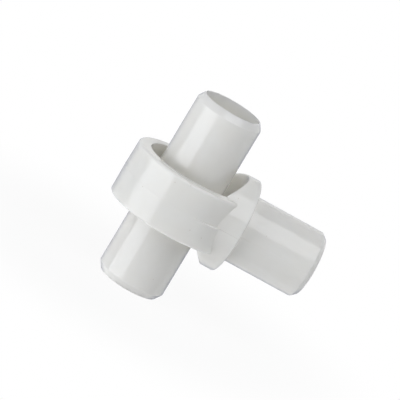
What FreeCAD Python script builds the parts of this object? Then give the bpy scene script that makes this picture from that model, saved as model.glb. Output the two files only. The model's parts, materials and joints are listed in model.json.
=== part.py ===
"""Swivel tee for plastic pipe: a branch moulding that turns on a short run tube.

The run axis is Z, the branch points along +X, and the origin is where the two axes cross. Pipes push over the three
spigots. The two run pipes end inside the ring, on the run tube's stop flange and snap bead, so they never pinch the
web that the branch moulding turns on.
"""

import FreeCAD, Part
import math
import os

# The pipe that all three spigots take.
PIPE_RADIUS = 10.67          # outside
PIPE_WALL = 2.77
SPIGOT_CLEARANCE = 0.15      # spigot inside the pipe
SOCKET_CLEARANCE = 0.18      # pipe inside the ring

# The run tube.
RUN_LENGTH = 44.8
RUN_WALL = 1.18
RUN_CHAMFER_LENGTH = 1.55
RUN_CHAMFER_DEPTH = 1.0
FLANGE_REACH = 1.9           # how far the stop flange stands out of the tube
FLANGE_THICKNESS = 1.2
SNAP_RISE = 0.38             # low enough to spring through the web
SNAP_LAND = 0.45
SNAP_RAMP = 1.3

# The seat that the branch moulding turns on.
WEB_THICKNESS = 3.0
SWIVEL_CLEARANCE = 0.05      # web on tube
THRUST_CLEARANCE = 0.15      # web to flange, and web to snap bead

# The ring.
RING_WALL = 2.9              # at the parting line
RING_LENGTH = 12.6
RING_DRAFT = 0.9             # degrees, both ways from the parting line
RIM_ROUND = 0.6              # upper rim
RIM_BREAK = 0.25             # chamfer on the lower rim

# The collar and the branch spigot.
COLLAR_STEP = 0.23           # collar proud of the pipe's outside
COLLAR_THICKNESS = 3.15      # its thinnest, between the run pipe's clearance and its end face
COLLAR_BREAK = 0.35          # chamfer round the collar's end face
FLAP_ROUND = 0.45            # where the run pipe's clearance leaves the collar above and below the ring
BRANCH_REACH = 18.4          # spigot beyond the collar
BRANCH_WALL = 1.3
BRANCH_FLOOR = 1.6           # closes the branch bore behind the collar
BRANCH_CHAMFER_LENGTH = 1.1
BRANCH_CHAMFER_DEPTH = 0.95

# Sizes that follow from those.
SPIGOT_RADIUS = PIPE_RADIUS - PIPE_WALL - SPIGOT_CLEARANCE
SOCKET_RADIUS = PIPE_RADIUS + SOCKET_CLEARANCE
RING_RADIUS = SOCKET_RADIUS + RING_WALL
COLLAR_RADIUS = PIPE_RADIUS + COLLAR_STEP
COLLAR_FACE = SOCKET_RADIUS + COLLAR_THICKNESS
SEAT_RADIUS = SPIGOT_RADIUS + SWIVEL_CLEARANCE
STOP_FACE = WEB_THICKNESS / 2 + THRUST_CLEARANCE

RUN_AXIS = FreeCAD.Vector(0, 0, 1)
BRANCH_AXIS = FreeCAD.Vector(1, 0, 0)
CENTRE = FreeCAD.Vector(0, 0, 0)


def turned(outline):
    """The solid that a closed outline of (radius, height) points sweeps round the run axis."""
    points = [FreeCAD.Vector(radius, 0, height) for radius, height in outline]
    face = Part.Face(Part.makePolygon(points + points[:1]))
    return face.revolve(CENTRE, RUN_AXIS, 360)


def chamfered_cylinder(radius, start, end, depth, length):
    """A cylinder along the branch axis whose far end is chamfered by that depth over that length."""
    straight = Part.makeCylinder(radius, end - length - start, BRANCH_AXIS * start, BRANCH_AXIS)
    cone = Part.makeCone(radius, radius - depth, length, BRANCH_AXIS * (end - length), BRANCH_AXIS)
    return straight.fuse(cone).removeSplitter()


def along(solid, surfaces):
    """The solid's edges that lie on both surfaces, each given as an axis and a radius."""

    def on(point, axis, radius):
        return abs(point.cross(axis).Length - radius) < 1e-4

    found = []
    for edge in solid.Edges:
        points = edge.discretize(Number=5)
        if all(on(point, axis, radius) for point in points for axis, radius in surfaces):
            found.append(edge)
    return found


def run_tube():
    """A straight tube with chamfered ends, a stop flange below the web and a ramped snap bead above it."""
    bore = SPIGOT_RADIUS - RUN_WALL
    tip = SPIGOT_RADIUS - RUN_CHAMFER_DEPTH
    half = RUN_LENGTH / 2
    flange = SPIGOT_RADIUS + FLANGE_REACH
    bead = SPIGOT_RADIUS + SNAP_RISE
    flange_back = -STOP_FACE - FLANGE_THICKNESS
    return turned([
        (bore, -half),
        (tip, -half),
        (SPIGOT_RADIUS, -half + RUN_CHAMFER_LENGTH),
        (SPIGOT_RADIUS, flange_back),
        (flange, flange_back),
        (flange, -STOP_FACE),
        (SPIGOT_RADIUS, -STOP_FACE),
        (SPIGOT_RADIUS, STOP_FACE),
        (bead, STOP_FACE),
        (bead, STOP_FACE + SNAP_LAND),
        (SPIGOT_RADIUS, STOP_FACE + SNAP_LAND + SNAP_RAMP),
        (SPIGOT_RADIUS, half - RUN_CHAMFER_LENGTH),
        (tip, half),
        (bore, half),
    ])


def circle_at(solid, radius, height):
    """The solid's edges that lie on the circle of that radius round the run axis at that height."""
    return [
        edge for edge in along(solid, [(RUN_AXIS, radius)])
        if all(abs(point.z - height) < 1e-4 for point in edge.discretize(Number=5))
    ]


def ring():
    """The ring, drafted both ways from its parting line, with the web that seats on the run tube. Its upper rim is
    rounded, and its lower rim has a small chamfer."""
    half = RING_LENGTH / 2
    web = WEB_THICKNESS / 2
    rim = RING_RADIUS - half * math.tan(math.radians(RING_DRAFT))
    lower = [(SEAT_RADIUS, -web), (SOCKET_RADIUS, -web), (SOCKET_RADIUS, -half), (rim, -half)]
    upper = [(radius, -height) for radius, height in reversed(lower)]
    solid = turned(lower + [(RING_RADIUS, 0)] + upper)
    solid = solid.makeFillet(RIM_ROUND, circle_at(solid, rim, half))
    return solid.makeChamfer(RIM_BREAK, circle_at(solid, rim, -half))


def run_cylinder(radius):
    """A cylinder on the run axis that passes through the whole branch moulding."""
    reach = 2 * COLLAR_RADIUS
    return Part.makeCylinder(radius, 2 * reach, RUN_AXIS * -reach, RUN_AXIS)


def collar():
    """A short cylinder on the branch axis, grown out of the ring's wall. Above and below the ring it is cut clear of
    the run pipes, which leaves two flaps, and each flap's edge there is rounded."""
    width = 2 * COLLAR_RADIUS
    solid = chamfered_cylinder(COLLAR_RADIUS, 0, COLLAR_FACE, COLLAR_BREAK, COLLAR_BREAK)
    corner = FreeCAD.Vector(0, -width / 2, -RING_LENGTH / 2)
    at_ring = Part.makeBox(COLLAR_FACE, width, RING_LENGTH, corner)
    root = solid.common(at_ring).cut(run_cylinder(SOCKET_RADIUS + RING_WALL / 2))
    flaps = []
    for flap in solid.cut([at_ring, run_cylinder(SOCKET_RADIUS)]).Solids:
        edges = along(flap, [(RUN_AXIS, SOCKET_RADIUS), (BRANCH_AXIS, COLLAR_RADIUS)])
        flaps.append(flap.makeFillet(FLAP_ROUND, edges))
    return root.fuse(flaps).removeSplitter()


def branch_body():
    """Ring, collar and branch spigot in one moulding, with a blind bore in the spigot."""
    tip = COLLAR_FACE + BRANCH_REACH
    floor = SOCKET_RADIUS + BRANCH_FLOOR
    spigot = chamfered_cylinder(
        SPIGOT_RADIUS, SOCKET_RADIUS, tip, BRANCH_CHAMFER_DEPTH, BRANCH_CHAMFER_LENGTH
    )
    bore = Part.makeCylinder(SPIGOT_RADIUS - BRANCH_WALL, tip - floor, BRANCH_AXIS * floor, BRANCH_AXIS)
    return ring().fuse([collar(), spigot]).cut(bore)


NODES = {"run_tube": run_tube, "branch_body": branch_body}

os.makedirs("parts", exist_ok=True)
for name, make in NODES.items():
    shape = make()
    solids = shape.Solids
    if len(solids) != 1 or not shape.isValid():
        raise RuntimeError(f"{name} came out as {len(solids)} solids, valid: {shape.isValid()}")
    solids[0].exportStep(f"parts/{name}.step")
    print(name, "volume", round(solids[0].Volume, 2), "mm3, centre", solids[0].CenterOfMass)
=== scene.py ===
import json
import math

import bmesh
import bpy
from mathutils import Matrix, Vector


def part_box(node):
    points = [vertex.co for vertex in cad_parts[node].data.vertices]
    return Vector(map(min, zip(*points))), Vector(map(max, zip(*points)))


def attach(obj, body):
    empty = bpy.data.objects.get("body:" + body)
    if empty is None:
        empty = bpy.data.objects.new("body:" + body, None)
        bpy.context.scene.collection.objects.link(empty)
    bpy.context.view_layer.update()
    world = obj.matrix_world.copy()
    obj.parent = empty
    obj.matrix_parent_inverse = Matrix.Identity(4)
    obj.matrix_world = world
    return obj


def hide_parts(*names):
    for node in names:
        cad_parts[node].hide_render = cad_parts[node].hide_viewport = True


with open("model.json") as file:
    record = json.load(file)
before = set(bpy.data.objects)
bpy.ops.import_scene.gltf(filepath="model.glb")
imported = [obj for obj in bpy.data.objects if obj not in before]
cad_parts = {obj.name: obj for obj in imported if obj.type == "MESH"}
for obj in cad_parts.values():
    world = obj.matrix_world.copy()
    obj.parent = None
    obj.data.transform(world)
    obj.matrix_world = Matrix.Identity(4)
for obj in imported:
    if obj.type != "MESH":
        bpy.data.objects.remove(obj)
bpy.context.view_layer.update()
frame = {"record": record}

# -----------------------------------------------------------------------------------------------------------
# Run tube. A short hollow tube of white PVC, injection moulded, open at both ends. Each end is chamfered so
# that a pipe starts over it. Halfway along, a stop flange and a low snap bead hold the branch moulding's web
# between them.
# -----------------------------------------------------------------------------------------------------------

MM = 0.001
WELD = 1e-4
CREASE = math.radians(31)
ROUND_STEPS = 8
TURN_STEPS = 192

mount = {row["name"]: row for row in frame["record"]["mounts"]}
spigot_radius = mount["run_spigot_upper"]["dims"]["r_mm"]
run_bore_radius = mount["run_bore"]["dims"]["r_mm"]
run_low, run_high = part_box("run_tube")
run_half = run_high.z / MM
flange_radius = run_high.x / MM
chamfer_length = 1.55
chamfer_depth = 1.0
tip_radius = spigot_radius - chamfer_depth
stop_face = 1.65
flange_thickness = 1.2
bead_rise = 0.38
bead_land = 0.45
bead_ramp = 1.3
# How far each edge was rounded in the mould.
mouth_round = 0.06
tip_round = 0.07
chamfer_round = 0.35
flange_round = 0.2
bead_round = 0.06
land_round = 0.1
ramp_round = 0.3


def eased(outline):
    """Rounds each corner of a closed outline. A corner is (a, b, radius), and (a, b) points come back."""
    points = []
    for k, (a, b, radius) in enumerate(outline):
        corner = Vector((a, b))
        back = Vector(outline[k - 1][:2]) - corner
        ahead = Vector(outline[(k + 1) % len(outline)][:2]) - corner
        if radius == 0:
            points.append((a, b))
            continue
        half = back.angle(ahead) / 2
        reach = radius / math.tan(half)
        middle = corner + (back.normalized() + ahead.normalized()).normalized() * (radius / math.sin(half))
        start = corner + back.normalized() * reach - middle
        end = corner + ahead.normalized() * reach - middle
        for step in range(ROUND_STEPS + 1):
            points.append(tuple(middle + radius * start.slerp(end, step / ROUND_STEPS)))
    return points


def welded(name, strips, finish):
    """One piece from strips of quads. A strip is rows of points in mm, each row as long as the next."""
    form = bmesh.new()
    for rows in strips:
        grid = [[form.verts.new(Vector(point) * MM) for point in row] for row in rows]
        for near, far in zip(grid, grid[1:]):
            for k in range(len(near) - 1):
                form.faces.new((near[k], near[k + 1], far[k + 1], far[k]))
    bmesh.ops.remove_doubles(form, verts=form.verts, dist=WELD * MM)
    bmesh.ops.recalc_face_normals(form, faces=form.faces)
    mesh = bpy.data.meshes.new(name)
    form.to_mesh(mesh)
    form.free()
    mesh.shade_smooth()
    mesh.set_sharp_from_angle(angle=CREASE)
    piece = bpy.data.objects.new(name, mesh)
    bpy.context.scene.collection.objects.link(piece)
    piece.data.materials.append(finish)
    return piece


def fed(tree, node, values):
    """Gives each listed input of a node its value: a number, a colour, or another node's output."""
    for socket, value in values.items():
        if isinstance(value, bpy.types.NodeSocket):
            tree.links.new(value, node.inputs[socket])
        else:
            node.inputs[socket].default_value = value
    return node


def worked(tree, operation, *values):
    """What a maths node makes of its values."""
    maths = tree.nodes.new("ShaderNodeMath")
    maths.operation = operation
    return fed(tree, maths, dict(enumerate(values))).outputs["Value"]


def ranged(tree, value, low, high, new_low, new_high):
    """A value carried smoothly from one range to another, and held at its ends."""
    span = tree.nodes.new("ShaderNodeMapRange")
    span.interpolation_type = "SMOOTHSTEP"
    ends = {"From Min": low, "From Max": high, "To Min": new_low, "To Max": new_high}
    return fed(tree, span, {"Value": value, **ends}).outputs["Result"]


def moulded_white(name, seed, polish, shaded_edges=()):
    """Glossy white PVC: an even white with faint clouding, a few dark specks and a shallow wave. The seed
    moves the pattern, and the polish is the roughness of the shiniest patches. A shaded edge is (axis, place,
    width, start, end) in mm: a plane square to that axis, along which a faint line of painted shade is laid
    in patches, strongest at x = start and gone by x = end."""
    clear_white = (0.938, 0.918, 0.868, 1)
    clouded_white = (0.926, 0.905, 0.852, 1)
    burnt = (0.78, 0.74, 0.67, 1)
    # The dark colour of the painted shade lines along the shaded edges.
    painted_shade = (0.70, 0.665, 0.61, 1)
    places_per_metre = 620
    grain_core, grain_edge = 0.045, 0.11
    empty_share = 0.86
    dulling = 0.03
    wave_height = 0.03 * MM
    light_depth = 1.3 * MM

    finish = bpy.data.materials.new(name)
    finish.use_nodes = True
    tree = finish.node_tree
    place = tree.nodes.new("ShaderNodeTexCoord").outputs["Object"]
    shift = fed(tree, tree.nodes.new("ShaderNodeMapping"), {
        "Vector": place,
        "Location": (seed, seed * 0.37, seed * 0.71),
    })
    shifted = shift.outputs["Vector"]

    def noise(scale, detail):
        """A soft random field. The scale is roughly how many blotches lie along a metre."""
        field = tree.nodes.new("ShaderNodeTexNoise")
        return fed(tree, field, {"Vector": shifted, "Scale": scale, "Detail": detail}).outputs["Fac"]

    def blended(amount, first, second):
        mix = tree.nodes.new("ShaderNodeMix")
        mix.data_type = "RGBA"
        return fed(tree, mix, {0: amount, 6: first, 7: second}).outputs[2]

    # Faint clouding where the melt met the steel at different heats.
    colour = blended(ranged(tree, noise(140, 2), 0.35, 0.68, 0, 1), clouded_white, clear_white)

    # Specks: burnt grains in the melt, about one in each square centimetre, a fifth of a millimetre across.
    # Each cell of the pattern is one place for a grain, and most places are empty.
    cells = fed(tree, tree.nodes.new("ShaderNodeTexVoronoi"), {"Vector": shifted, "Scale": places_per_metre})
    grain = ranged(tree, cells.outputs["Distance"], grain_core, grain_edge, 1, 0)
    shades = fed(tree, tree.nodes.new("ShaderNodeSeparateColor"), {"Color": cells.outputs["Color"]})
    held = worked(tree, "GREATER_THAN", shades.outputs["Red"], empty_share)
    colour = blended(worked(tree, "MULTIPLY", grain, held), colour, burnt)

    # Painted shade: a faint dark line, in patches, along each shaded edge.
    along = fed(tree, tree.nodes.new("ShaderNodeSeparateXYZ"), {"Vector": place}).outputs
    for axis, centre, width, start, end in shaded_edges:
        on_edge = worked(tree, "COMPARE", along[axis], centre * MM, width / 2 * MM)
        fading = ranged(tree, along["X"], start * MM, end * MM, 1, 0)
        past_start = worked(tree, "GREATER_THAN", along["X"], start * MM)
        patches = ranged(tree, noise(260, 2), 0.30, 0.62, 0.35, 1.0)
        amount = worked(tree, "MULTIPLY", on_edge, fading)
        amount = worked(tree, "MULTIPLY", amount, patches)
        amount = worked(tree, "MULTIPLY", amount, past_start)
        colour = blended(amount, colour, painted_shade)

    # Polished steel leaves a gloss that handling dulls a little in patches. Shrinkage leaves a slow, shallow
    # wave.
    gloss = ranged(tree, noise(120, 2), 0.35, 0.70, polish, polish + dulling)
    wave = fed(tree, tree.nodes.new("ShaderNodeBump"), {
        "Strength": 0.25,
        "Distance": wave_height,
        "Height": noise(150, 1),
    })
    fed(tree, tree.nodes["Principled BSDF"], {
        "Base Color": colour,
        "Roughness": gloss,
        "Normal": wave.outputs["Normal"],
        "IOR": 1.54,
        "Subsurface Weight": 0.9,
        "Subsurface Radius": (1.0, 1.0, 1.0),
        "Subsurface Scale": light_depth,
    })
    return finish


tube_outline = eased([
    (run_bore_radius, -run_half, mouth_round),
    (tip_radius, -run_half, tip_round),
    (spigot_radius, -run_half + chamfer_length, chamfer_round),
    (spigot_radius, -stop_face - flange_thickness, flange_round),
    (flange_radius, -stop_face - flange_thickness, flange_round),
    (flange_radius, -stop_face, flange_round),
    (spigot_radius, -stop_face, 0),
    (spigot_radius, stop_face, 0),
    (spigot_radius + bead_rise, stop_face, bead_round),
    (spigot_radius + bead_rise, stop_face + bead_land, land_round),
    (spigot_radius, stop_face + bead_land + bead_ramp, ramp_round),
    (spigot_radius, run_half - chamfer_length, chamfer_round),
    (tip_radius, run_half, tip_round),
    (run_bore_radius, run_half, mouth_round),
])
turns = [step * math.tau / TURN_STEPS for step in range(TURN_STEPS + 1)]
tube_rows = [
    [(radius * math.cos(turn), radius * math.sin(turn), height) for turn in turns]
    for radius, height in tube_outline + tube_outline[:1]
]
run_tube_white = moulded_white("run_tube_white", seed=0.0, polish=0.08)
run_tube = welded("run_tube_moulding", [tube_rows], run_tube_white)
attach(run_tube, "run")
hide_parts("run_tube")

# -----------------------------------------------------------------------------------------------------------
# Ring of the branch moulding. A short thick ring of the same white PVC, drafted both ways from its parting
# line, its upper rim rounded and its lower rim barely broken. Pockets above and below its web take the ends
# of the run pipes, and the web turns on the tube.
# -----------------------------------------------------------------------------------------------------------

RING_STEPS = 80
SKIN_STEPS = 12

branch_low, branch_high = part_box("branch_body")
collar_radius = branch_high.z / MM
collar_face = mount["branch_shoulder"]["pos_m"][0] / MM
parting_rise = 0.018
parting_half_width = 0.14
ring_radius = -branch_low.x / MM - parting_rise
ring_half = 6.3
ring_draft = math.radians(0.9)
rim_round = 0.6
rim_break = 0.25
break_round = 0.1
socket_radius = 10.85
web_half = 1.5
seat_radius = 7.80
# Beside the collar, the mould's lower half left the ring a little prouder. This lip holds for the first few
# degrees and then fades out.
lip = 0.30
lip_hold = math.radians(16)
lip_fade = math.radians(22)


def ridge(height):
    """How far the parting line's low ridge stands up at that height from the parting plane."""
    return parting_rise * max(0.0, 1 - abs(height) / parting_half_width)


def ring_at(height):
    """The ring's outside radius at a height on its drafted skin."""
    return ring_radius - abs(height) * math.tan(ring_draft) + ridge(height)


def collar_at(height):
    """The collar's outside radius at that height from the parting plane."""
    return collar_radius + ridge(height)


def side_row(radius, height, start, lost=0.0):
    """Points round the ring, from a start angle beside the collar, where the radius is as given, to
    straight behind, where it has lost the lip."""
    row = []
    for k in range(RING_STEPS + 1):
        turn = start + (math.pi - start) * k / RING_STEPS
        faded = min(1.0, max(0.0, turn - start - lip_hold) / lip_fade)
        here = radius - lost * faded * faded * (3 - 2 * faded)
        row.append((here * math.cos(turn), here * math.sin(turn), height))
    return row


def profile_to(rim, proud):
    """The ring's outside beside the collar, as rows of (radius, height, how much of the radius is lip), from
    the parting line to a rim. The rim's own points come as (radius, height)."""
    skin = rim[0][1] - parting_half_width
    heights = [parting_half_width + skin * k / SKIN_STEPS for k in range(SKIN_STEPS)]
    rows = [(ring_at(0), 0, 0)] + [(ring_at(height) + proud, height, proud) for height in heights]
    return rows + [(radius + proud, height, proud) for radius, height in rim]


rim_radius = ring_at(ring_half)
upper_profile = profile_to(eased([
    (ring_radius, 0, 0),
    (rim_radius, ring_half, rim_round),
    (socket_radius, ring_half, 0),
])[1:-1], 0)
lower_profile = profile_to(eased([
    (ring_radius, 0, 0),
    (ring_at(ring_half - rim_break), ring_half - rim_break, break_round),
    (rim_radius - rim_break, ring_half, break_round),
    (socket_radius, ring_half, 0),
])[1:-1], lip)


def beside_collar(radius, height):
    """The angle at which a circle round the run axis, at that height, meets the collar's side."""
    return math.asin(min(1.0, math.sqrt(collar_at(height) ** 2 - height ** 2) / radius))


def ring_rows(profile):
    """The ring's outside, from the parting line to the rim."""
    return [
        side_row(radius, height, beside_collar(radius, height), proud)
        for radius, height, proud in profile
    ]


# -----------------------------------------------------------------------------------------------------------
# Collar of the branch moulding. A short cylinder round the branch, moulded in one with the ring. Above and
# below the ring it is cut away to clear the run pipes, which leaves two flaps, and each flap's curved edge is
# rounded.
# -----------------------------------------------------------------------------------------------------------

FLAP_STEPS = 44
FLAP_ARC_STEPS = 6
FOOT_STEPS = 4
HALVINGS = 40
RIM_STEPS = 5
SIDE_STEPS = 8
WALL_STEPS = 6
WEB_STEPS = 4
SEAT_STEPS = 2

flap_round = 0.45
# A ball that fits the rounded edge runs this far from the run axis, and this far from the branch axis.
ball_reach = socket_radius + flap_round
ball_drop = collar_radius - flap_round
face_round = 0.42
side_stop = collar_face - face_round


def flap_arc(turn):
    """The rounded edge of a flap at one turn about the run axis, from the pocket's wall over to the collar's
    side. Beside the ring it starts only where it comes up out of the rim."""
    ball = Vector((ball_reach * math.cos(turn), ball_reach * math.sin(turn), 0))
    ball.z = math.sqrt(ball_drop ** 2 - ball.y ** 2)
    to_wall = Vector((-math.cos(turn), -math.sin(turn), 0))
    to_side = Vector((0, ball.y, ball.z)).normalized()

    def at(part):
        return ball + flap_round * to_wall.slerp(to_side, part)

    start = 0.0
    if ball.z < ring_half:
        low, high = 0.0, 1.0
        for _ in range(HALVINGS):
            start = (low + high) / 2
            low, high = (start, high) if at(start).z < ring_half else (low, start)
    return [at(start + (1 - start) * k / FLAP_ARC_STEPS) for k in range(FLAP_ARC_STEPS + 1)]


wall_end = math.asin(math.sqrt(ball_drop ** 2 - ring_half ** 2) / ball_reach)
side_end = math.asin(ball_drop * math.sqrt(1 - (ring_half / collar_radius) ** 2) / ball_reach)
flap_turns = [wall_end * k / FLAP_STEPS for k in range(FLAP_STEPS + 1)]
foot_turns = [wall_end + (side_end - wall_end) * k / FOOT_STEPS for k in range(1, FOOT_STEPS + 1)]
flap_arcs = [flap_arc(turn) for turn in flap_turns + foot_turns]

# The last arc has run out to the flap's foot, which lies flat on the rim.
foot_y = math.sqrt(collar_radius ** 2 - ring_half ** 2)
foot = flap_arcs[-1]
for point in foot:
    point.z = ring_half
foot_radius = foot[-1].xy.length


def rim_marks(profile):
    """Radii across the rim's flat, from its outer edge in to the flap's foot, each with how much of it is
    lip."""
    edge, proud = profile[-1][0], profile[-1][2]
    parts = [k / RIM_STEPS for k in range(1, RIM_STEPS + 1)]
    return [(edge + (foot_radius - edge) * part, proud * (1 - part)) for part in parts]


def rim_rows(profile):
    """The rim's flat, from its outer edge in to the pocket's mouth, starting beside the flap's foot."""
    outer = [
        side_row(radius, ring_half, math.asin(foot_y / radius), proud)
        for radius, proud in rim_marks(profile)
    ]
    inner = foot[-2::-1] + [arc[0] for arc in reversed(flap_arcs[FLAP_STEPS:-1])]
    return outer + [side_row(point.xy.length, ring_half, math.atan2(point.y, point.x)) for point in inner]


# The pocket's wall runs on past the rim as the flap's inner side. Below it come the web and the seat that
# turns on the tube.
mouth_turns = flap_turns + [
    wall_end + (math.pi - wall_end) * k / RING_STEPS for k in range(1, RING_STEPS + 1)
]


def round_row(radius, height):
    """Half a circle round the run axis, from the collar's side of the pocket to straight behind."""
    return [(radius * math.cos(turn), radius * math.sin(turn), height) for turn in mouth_turns]


pocket_rows = [
    round_row(socket_radius, ring_half + (web_half - ring_half) * k / WALL_STEPS)
    for k in range(WALL_STEPS + 1)
]
pocket_rows += [
    round_row(socket_radius + (seat_radius - socket_radius) * k / WEB_STEPS, web_half)
    for k in range(1, WEB_STEPS + 1)
]
pocket_rows += [
    round_row(seat_radius, web_half * (1 - k / SEAT_STEPS))
    for k in range(1, SEAT_STEPS + 1)
]
flap_wall_rows = [
    [
        (arc[0].x, arc[0].y, ring_half + (arc[0].z - ring_half) * k / WALL_STEPS)
        for arc in flap_arcs[:FLAP_STEPS + 1]
    ]
    for k in range(WALL_STEPS + 1)
]


def collar_side_rows(profile):
    """The collar's side as two strips. Over the flap it starts at the rounded edge, and beside the ring at
    the ring's skin."""
    steps = [k / SIDE_STEPS for k in range(SIDE_STEPS + 1)]
    foot_x = flap_arcs[-1][-1].x
    corner_x = math.sqrt(profile[-1][0] ** 2 - foot_y ** 2)
    stops = [math.sqrt(radius ** 2 - foot_y ** 2) for radius, _ in reversed(rim_marks(profile))]
    stops += [corner_x + (side_stop - corner_x) * part for part in steps]
    marks = [(x - foot_x) / (side_stop - foot_x) for x in stops]
    over_flap = [
        [(arc[-1].x + (side_stop - arc[-1].x) * mark, arc[-1].y, arc[-1].z) for mark in marks]
        for arc in flap_arcs
    ]
    beside_ring = []
    for radius, height, _ in reversed(profile):
        y = math.sqrt(collar_at(height) ** 2 - height ** 2)
        x = math.sqrt(radius ** 2 - y ** 2)
        beside_ring.append([(x + (side_stop - x) * part, y, height) for part in steps])
    return over_flap, beside_ring


# -----------------------------------------------------------------------------------------------------------
# Branch spigot. A straight tube standing out of the collar's end face, moulded in one with it, chamfered at
# its tip and bored blind, so that only the two run ends are joined right through.
# -----------------------------------------------------------------------------------------------------------

tip_x = branch_high.x / MM
branch_bore_radius = mount["branch_bore"]["dims"]["r_mm"]
bore_floor = tip_x - mount["branch_bore"]["dims"]["length_mm"]
branch_chamfer_length = 1.1
branch_chamfer_depth = 0.95
branch_tip_radius = spigot_radius - branch_chamfer_depth
root_round = 0.2
branch_chamfer_round = 0.5
branch_tip_round = 0.09
floor_round = 0.4
# The parting line's ridge runs on along the spigot's outside, and stops on the rounding before the chamfer.
ridge_end_x = tip_x - branch_chamfer_length + 0.4
ridge_least_radius = branch_tip_radius + 0.3

spigot_outline = eased([
    (collar_radius, side_stop, 0),
    (collar_radius, collar_face, face_round),
    (spigot_radius, collar_face, root_round),
    (spigot_radius, tip_x - branch_chamfer_length, branch_chamfer_round),
    (branch_tip_radius, tip_x, branch_tip_round),
    (branch_bore_radius, tip_x, branch_tip_round),
    (branch_bore_radius, bore_floor, floor_round),
    (0, bore_floor, 0),
])


def spigot_rows(collar_rows):
    """The spigot on spokes: the collar's own lines, from straight above the branch to the parting plane."""
    spokes = [Vector(row[-1][1:]) for row in collar_rows]
    rows = []
    for radius, x in spigot_outline:
        ridged = radius > ridge_least_radius and x < ridge_end_x
        rows.append([
            (x, *(spoke.normalized() * (radius + (ridge(spoke.y) if ridged else 0)))) for spoke in spokes
        ])
    return rows


# Both sides of the branch axis are alike. Above and below the parting plane only the ring's rims differ.
whole = []
for top, profile in ((1, upper_profile), (-1, lower_profile)):
    over_flap, beside_ring = collar_side_rows(profile)
    quarter = [
        ring_rows(profile) + rim_rows(profile), pocket_rows, flap_wall_rows, flap_arcs,
        over_flap, beside_ring, spigot_rows(over_flap + beside_ring[1:]),
    ]
    for rows in quarter:
        for side in (1, -1):
            whole.append([[(x, y * side, z * top) for x, y, z in row] for row in rows])

# Painted shade: a faint dark line along the parting line beside the collar, and round the edge of the
# collar's end face.
shaded_edges = (
    ("Z", 0, 0.07, 8.9, 20.0),
    ("X", collar_face - 0.10, 0.20, 0, 30.0),
)
branch_white = moulded_white("branch_white", seed=0.6, polish=0.14, shaded_edges=shaded_edges)
branch = welded("branch_moulding", whole, branch_white)
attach(branch, "branch")
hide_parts("branch_body")

# -----------------------------------------------------------------------------------------------------------
# Table and backdrop. A plain pale table just under the lower end of the run tube. It keeps a soft shadow of
# the fitting, and runs out to the same white as the backdrop all round.
# -----------------------------------------------------------------------------------------------------------

table_radius = 0.9
table_gap = 0.02 * MM
table_paint = (0.80, 0.80, 0.80, 1)
# Inside the inner radius the table is mostly its own bright white, and the rest of it takes the shadow. From
# there to the outer radius it goes over to pure white.
shadow_outer = 0.075
shadow_inner = shadow_outer * 0.35
white_share = 0.93
backdrop_white = (1, 1, 1, 1)


def seen(tree):
    """1 where the eye meets a surface, straight, in the gloss or through a clear one, and 0 where it only
    lights the others."""
    ray = tree.nodes.new("ShaderNodeLightPath").outputs
    straight_or_glossy = worked(tree, "MAXIMUM", ray["Is Camera Ray"], ray["Is Glossy Ray"])
    return worked(tree, "MAXIMUM", straight_or_glossy, ray["Is Transmission Ray"])


table_form = bmesh.new()
bmesh.ops.create_circle(table_form, cap_ends=True, segments=96, radius=table_radius)
table_mesh = bpy.data.meshes.new("table")
table_form.to_mesh(table_mesh)
table_form.free()
table = bpy.data.objects.new("table", table_mesh)
table.location.z = run_low.z - table_gap
bpy.context.scene.collection.objects.link(table)

table_white = bpy.data.materials.new("table_white")
table_white.use_nodes = True
tree = table_white.node_tree
tree.nodes.remove(tree.nodes["Principled BSDF"])
paper = fed(tree, tree.nodes.new("ShaderNodeBsdfDiffuse"), {"Color": table_paint})
bright = fed(tree, tree.nodes.new("ShaderNodeEmission"), {"Strength": 1.0})
from_middle = tree.nodes.new("ShaderNodeVectorMath")
from_middle.operation = "LENGTH"
fed(tree, from_middle, {0: tree.nodes.new("ShaderNodeTexCoord").outputs["Object"]})
own_white = ranged(tree, from_middle.outputs["Value"], shadow_inner, shadow_outer, white_share, 1.0)
surface = fed(tree, tree.nodes.new("ShaderNodeMixShader"), {
    "Fac": worked(tree, "MULTIPLY", seen(tree), own_white),
    1: paper.outputs["BSDF"],
    2: bright.outputs["Emission"],
})
fed(tree, tree.nodes["Material Output"], {"Surface": surface.outputs["Shader"]})
table.data.materials.append(table_white)
# The lamps stand partly below the table's level and shine past it, as they would round a small stand.
table.visible_shadow = False
table.visible_glossy = False

# The backdrop is white wherever it is seen, and leaves all the lighting to the lamps.
room = bpy.data.worlds.new("white_room")
bpy.context.scene.world = room
room.use_nodes = True
tree = room.node_tree
fed(tree, tree.nodes["Background"], {"Color": backdrop_white, "Strength": seen(tree)})

# -----------------------------------------------------------------------------------------------------------
# Lamps. Two plain soft boxes show in the gloss: a long low one on the left, and a square one above and to the
# right. Six lamps behind diffusers fill in from all round.
# -----------------------------------------------------------------------------------------------------------

lamp_distance = 0.60
lamp_white = (0.946, 0.960, 1.0)
fill_size = 0.40


def soft_box(name, direction, width, height, brightness, mirrored=True):
    """A rectangular soft box that faces the fitting from that direction. Its brightness is what its face
    shows. One that isn't mirrored stands behind a diffuser, so the gloss doesn't show it."""
    lamp = bpy.data.lights.new(name, "AREA")
    lamp.shape = "RECTANGLE"
    lamp.size, lamp.size_y = width, height
    lamp.energy = brightness * math.pi * width * height
    lamp.color = lamp_white
    box = bpy.data.objects.new(name, lamp)
    towards = Vector(direction).normalized()
    box.location = towards * lamp_distance
    box.rotation_euler = towards.to_track_quat("Z", "Y").to_euler()
    box.visible_camera = False
    box.visible_glossy = mirrored
    bpy.context.scene.collection.objects.link(box)


def bearing(turn, rise):
    """A direction from its turn about the run axis, with 0 straight in front, and its rise above level."""
    turn, rise = math.radians(turn), math.radians(rise)
    return math.sin(turn) * math.cos(rise), -math.cos(turn) * math.cos(rise), math.sin(rise)


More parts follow.
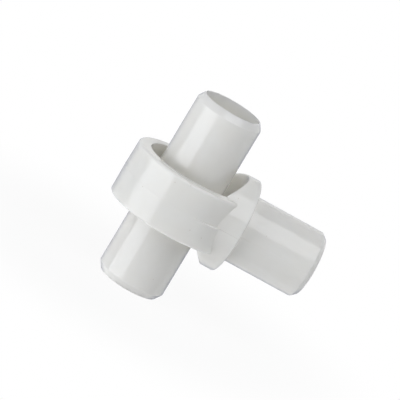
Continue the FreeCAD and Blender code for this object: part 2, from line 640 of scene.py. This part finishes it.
soft_box("left_box", bearing(-65, -12.5), width=0.64, height=0.30, brightness=2.5)
soft_box("upper_box", bearing(20.13, 53.4), width=0.56, height=0.56, brightness=2.02)
for name, turn, rise, brightness in (
    ("left_fill", -110, 24, 1.3),
    ("front_fill", -62, 23, 1.05),
    ("low_left_fill", -62, -46, 2.0),
    ("low_right_fill", 100, -25, 0.7),
    ("right_fill", 120, 50, 0.87),
    ("back_fill", 165, 20, 1.6),
):
    soft_box(name, bearing(turn, rise), fill_size, fill_size, brightness, mirrored=False)

# -----------------------------------------------------------------------------------------------------------
# Grey card. A plain card that stands behind the fitting, square to the camera and a little low. Only the
# gloss picks it up, along the fitting's sides and underside, where it draws the edges against the white.
# -----------------------------------------------------------------------------------------------------------

camera_turn = -10.85
camera_rise = 12.035
card_width = 0.90
card_height = 0.52
card_distance = 0.50
card_drop = 0.105
card_colour = (0.36, 0.38, 0.46, 1)

# The card's form is one metre square, so that its scale is its size.
card_form = bmesh.new()
bmesh.ops.create_grid(card_form, x_segments=1, y_segments=1, size=0.5)
card_mesh = bpy.data.meshes.new("grey_card")
card_form.to_mesh(card_mesh)
card_form.free()
card = bpy.data.objects.new("grey_card", card_mesh)
behind = -Vector(bearing(camera_turn, camera_rise))
card.rotation_euler = behind.to_track_quat("Z", "Y").to_euler()
card.scale = (card_width, card_height, 1)
card.location = behind * card_distance + Vector((0, 0, -card_drop))
card_grey = bpy.data.materials.new("card_grey")
card_grey.use_nodes = True
tree = card_grey.node_tree
tree.nodes.remove(tree.nodes["Principled BSDF"])
grey = fed(tree, tree.nodes.new("ShaderNodeEmission"), {"Color": card_colour})
fed(tree, tree.nodes["Material Output"], {"Surface": grey.outputs["Emission"]})
card.data.materials.append(card_grey)
card.visible_camera = False
card.visible_diffuse = False
card.visible_shadow = False
bpy.context.scene.collection.objects.link(card)

# -----------------------------------------------------------------------------------------------------------
# Camera. A long lens just over a metre away, from a little above and to the left of the front, rolled so that
# the run leans to the right.
# -----------------------------------------------------------------------------------------------------------

camera_roll = 31.045
camera_distance = 1.1314
focal_length = 474.05
aim = Vector((4.114, -0.513, 1.270)) * MM

lens = bpy.data.cameras.new("camera")
lens.sensor_width = 36
lens.lens = focal_length
lens.clip_start, lens.clip_end = 0.05, 10
camera = bpy.data.objects.new("camera", lens)
outward = Vector(bearing(camera_turn, camera_rise))
upright = outward.to_track_quat("Z", "Y").to_matrix().to_4x4()
camera.matrix_world = (
    Matrix.Translation(aim + outward * camera_distance)
    @ upright
    @ Matrix.Rotation(math.radians(camera_roll), 4, "Z")
)
bpy.context.scene.collection.objects.link(camera)
bpy.context.scene.camera = camera
bpy.context.scene.view_settings.view_transform = "Standard"
